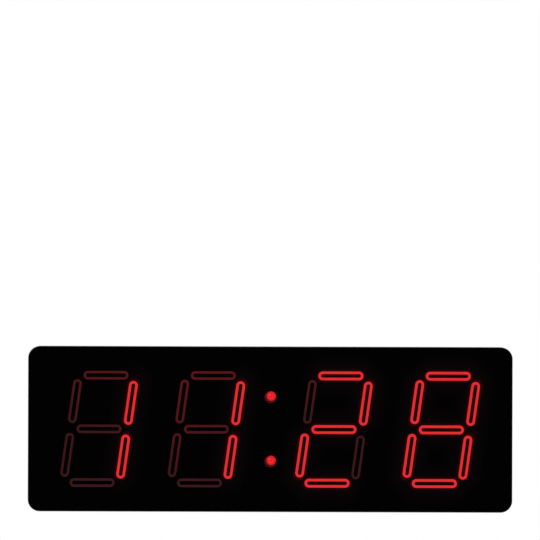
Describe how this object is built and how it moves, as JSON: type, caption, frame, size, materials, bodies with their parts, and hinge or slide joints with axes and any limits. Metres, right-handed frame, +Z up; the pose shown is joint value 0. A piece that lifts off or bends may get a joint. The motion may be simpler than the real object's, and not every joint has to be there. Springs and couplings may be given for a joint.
{
  "type": "led wall clock",
  "caption": "Wide led wall clock: slanted ring-outlined digits and a colon in a gloss black front, with rear keyholes, setting buttons and a sliding battery door.",
  "frame": {"origin": "on the wall plane, midway between the round ends of the two keyholes", "axes": "+X to the viewer's right, +Z up, +Y into the wall; the front faces -Y"},
  "size_m": [0.51, 0.035, 0.174],
  "materials": {
    "panel_gloss_black": "polished gloss black acrylic",
    "guide_lit": "red light guide, lit from behind",
    "guide_unlit": "the same red light guide, unlit",
    "core_black": "smooth black",
    "baffle_black": "matt moulded black",
    "lamp_red": "red diffused lamp epoxy, lit",
    "board_green": "glass fibre board with green solder mask",
    "chip_lamp": "white lamp body with a clear window",
    "chip_black": "moulded epoxy",
    "resistor_black": "ceramic with a dark glaze",
    "crystal_can": "bright can",
    "capacitor_sleeve": "dark blue sleeve",
    "header_plastic": "natural nylon",
    "ribbon_grey": "soft vinyl",
    "inlet_black": "moulded black",
    "pin_nickel": "nickel plated brass",
    "switch_black": "moulded black",
    "button_grey": "satin grey",
    "plunger_white": "natural nylon",
    "cell_steel": "bright stainless steel",
    "contact_nickel": "nickel plated spring steel",
    "cover_black": "fine spark-eroded texture",
    "screw_steel": "blackened steel"
  },
  "bodies": {
    "case": {"back_cover": "cover_black", "board_screws": "screw_steel", "capacitors": "capacitor_sleeve", "cell_contacts": "contact_nickel", "clock_crystal": "crystal_can", "coin_cell": "cell_steel", "colon_lamp_lower": "lamp_red", "colon_lamp_upper": "lamp_red", "control_board": "board_green", "control_chip": "chip_black", "digit_1_segment_a": "guide_unlit", "digit_1_segment_b": "guide_lit", "digit_1_segment_c": "guide_lit", "digit_1_segment_d": "guide_unlit", "digit_1_segment_e": "guide_unlit", "digit_1_segment_f": "guide_unlit", "digit_1_segment_g": "guide_unlit", "digit_2_segment_a": "guide_unlit", "digit_2_segment_b": "guide_lit", "digit_2_segment_c": "guide_lit", "digit_2_segment_d": "guide_unlit", "digit_2_segment_e": "guide_unlit", "digit_2_segment_f": "guide_unlit", "digit_2_segment_g": "guide_unlit", "digit_3_segment_a": "guide_lit", "digit_3_segment_b": "guide_lit", "digit_3_segment_c": "guide_unlit", "digit_3_segment_d": "guide_lit", "digit_3_segment_e": "guide_lit", "digit_3_segment_f": "guide_unlit", "digit_3_segment_g": "guide_lit", "digit_4_segment_a": "guide_lit", "digit_4_segment_b": "guide_lit", "digit_4_segment_c": "guide_lit", "digit_4_segment_d": "guide_lit", "digit_4_segment_e": "guide_lit", "digit_4_segment_f": "guide_lit", "digit_4_segment_g": "guide_lit", "display_board": "board_green", "driver_chips": "chip_black", "front_panel": "panel_gloss_black", "housing_screws": "screw_steel", "key_switches": "switch_black", "light_baffle": "baffle_black", "power_inlet": "inlet_black", "power_inlet_pin": "pin_nickel", "ribbon_cable": "ribbon_grey", "ribbon_headers": "header_plastic", "segment_cores": "core_black", "segment_lamps": "chip_lamp", "segment_resistors": "resistor_black"},
    "set_key": {"set_button": "button_grey", "set_plunger": "plunger_white"},
    "up_key": {"up_button": "button_grey", "up_plunger": "plunger_white"},
    "down_key": {"down_button": "button_grey", "down_plunger": "plunger_white"},
    "dimmer_key": {"dimmer_button": "button_grey", "dimmer_plunger": "plunger_white"},
    "door": {"battery_door": "cover_black"}
  },
  "joints": [
    {"name": "set_press", "type": "slide", "parent": "case", "child": "set_key", "axis": [0, -1, 0], "range_m": [0, 0.0005], "stiffness_N_per_m": 800, "springref_m": -0.001},
    {"name": "up_press", "type": "slide", "parent": "case", "child": "up_key", "axis": [0, -1, 0], "range_m": [0, 0.0005], "stiffness_N_per_m": 800, "springref_m": -0.001},
    {"name": "down_press", "type": "slide", "parent": "case", "child": "down_key", "axis": [0, -1, 0], "range_m": [0, 0.0005], "stiffness_N_per_m": 800, "springref_m": -0.001},
    {"name": "dimmer_press", "type": "slide", "parent": "case", "child": "dimmer_key", "axis": [0, -1, 0], "range_m": [0, 0.0005], "stiffness_N_per_m": 800, "springref_m": -0.001},
    {"name": "door_slide", "type": "slide", "parent": "case", "child": "door", "axis": [1, 0, 0], "range_m": [0, 0.024]}
  ]
}
